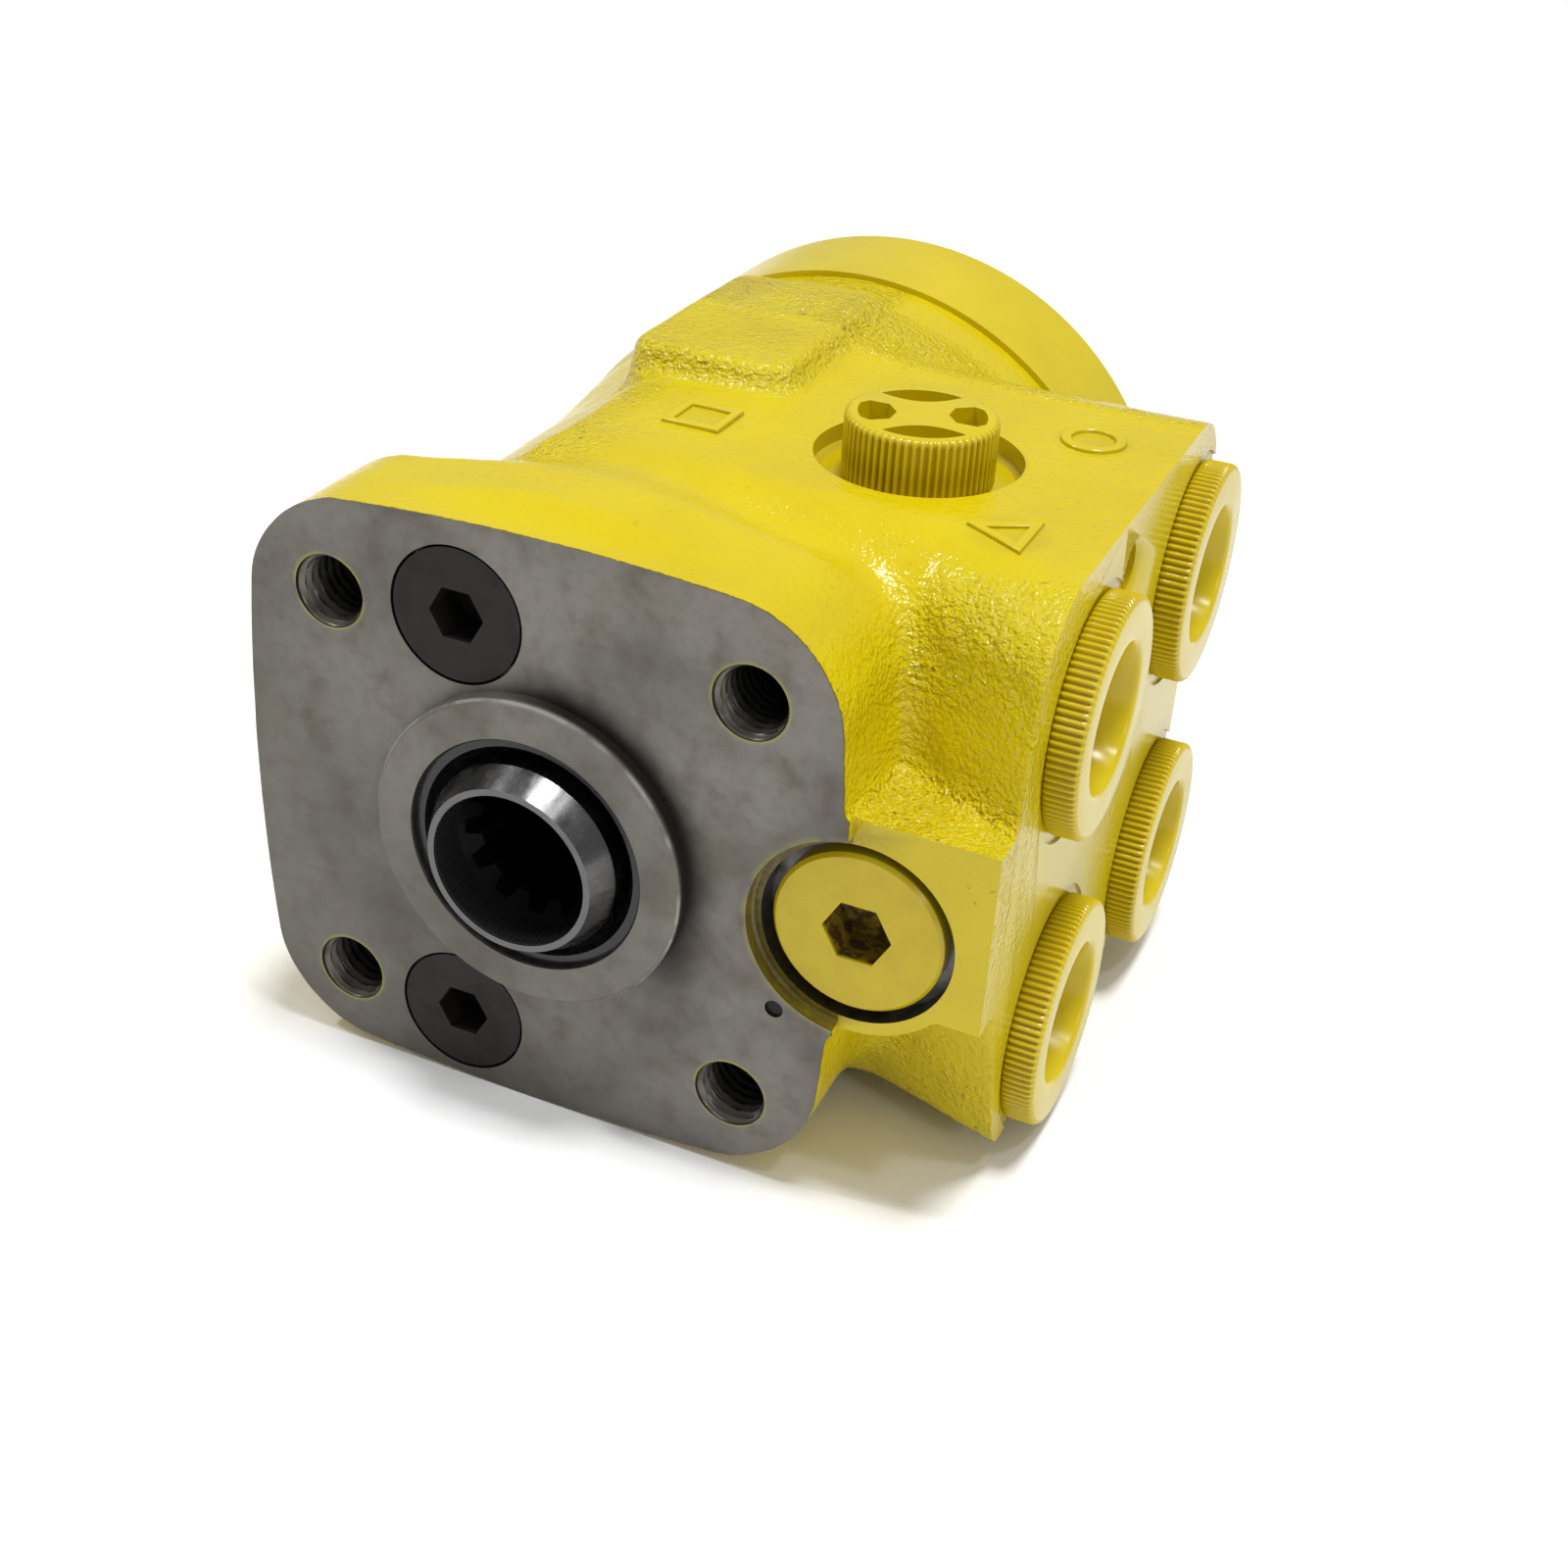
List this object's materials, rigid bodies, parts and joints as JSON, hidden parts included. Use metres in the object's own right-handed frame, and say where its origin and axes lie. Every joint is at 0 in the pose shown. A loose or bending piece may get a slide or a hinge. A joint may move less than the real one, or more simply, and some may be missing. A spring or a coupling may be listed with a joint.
{
  "type": "hydrostatic steering control unit",
  "caption": "Cast steering control unit with a square mounting flange, splined shaft socket, rotary valve, orbit gear set, relief and shock valves and capped side ports.",
  "frame": {"origin": "on the shaft axis, in the plane of the machined mounting face", "axes": "+Y runs into the unit along the shaft axis, +X points out of the main port face, +Z points out of the signal port"},
  "size_m": [0.1126, 0.1385, 0.0965],
  "materials": {
    "yellow_paint": "bright yellow gloss enamel over cast iron",
    "bare_iron": "ground iron, oiled",
    "dark_steel": "blackened steel",
    "bright_steel": "ground and polished steel",
    "spring_steel": "drawn spring steel",
    "bronze": "sintered bronze cage",
    "black_rubber": "nitrile rubber",
    "cap_plastic": "moulded plastic under yellow overspray"
  },
  "bodies": {
    "housing_body": {"housing": "yellow_paint", "dust_seal": "black_rubber", "shaft_seal": "black_rubber", "outer_race": "bright_steel", "gear_ring": "yellow_paint", "distributor_plate": "yellow_paint", "face_seals": "black_rubber", "end_cover": "yellow_paint", "cover_screws": "yellow_paint", "cover_washers": "yellow_paint", "check_bushing": "dark_steel", "channel_plug": "dark_steel", "upper_shock_plug": "dark_steel", "lower_shock_plug": "dark_steel", "upper_shock_adjuster": "dark_steel", "lower_shock_adjuster": "dark_steel", "upper_shock_spring": "spring_steel", "lower_shock_spring": "spring_steel", "shock_plug_seals": "black_rubber", "shock_seats": "bright_steel", "relief_plug": "yellow_paint", "relief_plug_seal": "black_rubber", "relief_adjuster": "dark_steel", "relief_spring": "spring_steel", "relief_seat": "bright_steel"},
    "sleeve_body": {"sleeve": "bright_steel", "inner_race": "bright_steel", "spring_ring": "spring_steel", "cross_pin": "bright_steel", "centring_springs": "spring_steel"},
    "spool_body": {"spool": "bright_steel"},
    "cage_body": {"needle_cage": "bronze"},
    "spacer_body": {"spacer": "bright_steel"},
    "wheel_body": {"gear_wheel": "bright_steel"},
    "cardan_body": {"cardan_shaft": "bright_steel"},
    "check_body": {"check_ball": "bright_steel"},
    "upper_shock_body": {"upper_shock_ball": "bright_steel"},
    "lower_shock_body": {"lower_shock_ball": "bright_steel"},
    "relief_body": {"relief_poppet": "bright_steel"},
    "cap_front_high_body": {"cap_front_high": "cap_plastic"},
    "cap_rear_high_body": {"cap_rear_high": "cap_plastic"},
    "cap_front_low_body": {"cap_front_low": "cap_plastic"},
    "cap_rear_low_body": {"cap_rear_low": "cap_plastic"},
    "cap_signal_body": {"cap_signal": "cap_plastic"}
  },
  "joints": [
    {"name": "sleeve_turn", "type": "hinge", "parent": "housing_body", "child": "sleeve_body", "pos_m": [0, 0.046, 0], "axis": [0, 1, 0], "continuous": true},
    {"name": "spool_deflect", "type": "hinge", "parent": "sleeve_body", "child": "spool_body", "pos_m": [0, 0.046, 0], "axis": [0, 1, 0], "range_deg": [-10, 10], "stiffness_Nm_per_rad": 2},
    {"name": "cage_roll", "type": "hinge", "parent": "housing_body", "child": "cage_body", "pos_m": [0, 0.0105, 0], "axis": [0, 1, 0], "continuous": true},
    {"name": "wheel_orbit", "type": "hinge", "parent": "housing_body", "child": "spacer_body", "pos_m": [0, 0.112, 0], "axis": [0, 1, 0], "continuous": true},
    {"name": "wheel_spin", "type": "hinge", "parent": "spacer_body", "child": "wheel_body", "pos_m": [0, 0.112, -0.0028], "axis": [0, 1, 0], "continuous": true},
    {"name": "cardan_spin", "type": "hinge", "parent": "spacer_body", "child": "cardan_body", "pos_m": [0, 0.046, 0], "axis": [0, 0.9991, -0.0424], "continuous": true},
    {"name": "check_lift", "type": "slide", "parent": "housing_body", "child": "check_body", "axis": [0, 1, 0], "range_m": [0, 0.005]},
    {"name": "upper_shock_lift", "type": "slide", "parent": "housing_body", "child": "upper_shock_body", "axis": [0, -1, 0], "range_m": [0, 0.0015], "stiffness_N_per_m": 6000, "springref_m": -0.0005, "deforming": ["upper_shock_spring"]},
    {"name": "lower_shock_lift", "type": "slide", "parent": "housing_body", "child": "lower_shock_body", "axis": [0, -1, 0], "range_m": [0, 0.0015], "stiffness_N_per_m": 6000, "springref_m": -0.0005, "deforming": ["lower_shock_spring"]},
    {"name": "relief_lift", "type": "slide", "parent": "housing_body", "child": "relief_body", "axis": [0, -1, 0], "range_m": [0, 0.002], "stiffness_N_per_m": 8000, "springref_m": -0.0005, "deforming": ["relief_spring"]},
    {"name": "cap_front_high_pull", "type": "slide", "parent": "housing_body", "child": "cap_front_high_body", "axis": [1, 0, 0], "range_m": [0, 0.03]},
    {"name": "cap_rear_high_pull", "type": "slide", "parent": "housing_body", "child": "cap_rear_high_body", "axis": [1, 0, 0], "range_m": [0, 0.03]},
    {"name": "cap_front_low_pull", "type": "slide", "parent": "housing_body", "child": "cap_front_low_body", "axis": [1, 0, 0], "range_m": [0, 0.03]},
    {"name": "cap_rear_low_pull", "type": "slide", "parent": "housing_body", "child": "cap_rear_low_body", "axis": [1, 0, 0], "range_m": [0, 0.03]},
    {"name": "cap_signal_pull", "type": "slide", "parent": "housing_body", "child": "cap_signal_body", "axis": [0, 0, 1], "range_m": [0, 0.025]}
  ],
  "couplings": [
    {"joint": "cage_roll", "follows": "sleeve_turn", "ratio": 0.5},
    {"joint": "wheel_orbit", "follows": "sleeve_turn", "ratio": -6},
    {"joint": "wheel_spin", "follows": "sleeve_turn", "ratio": 7},
    {"joint": "cardan_spin", "follows": "sleeve_turn", "ratio": 7}
  ]
}
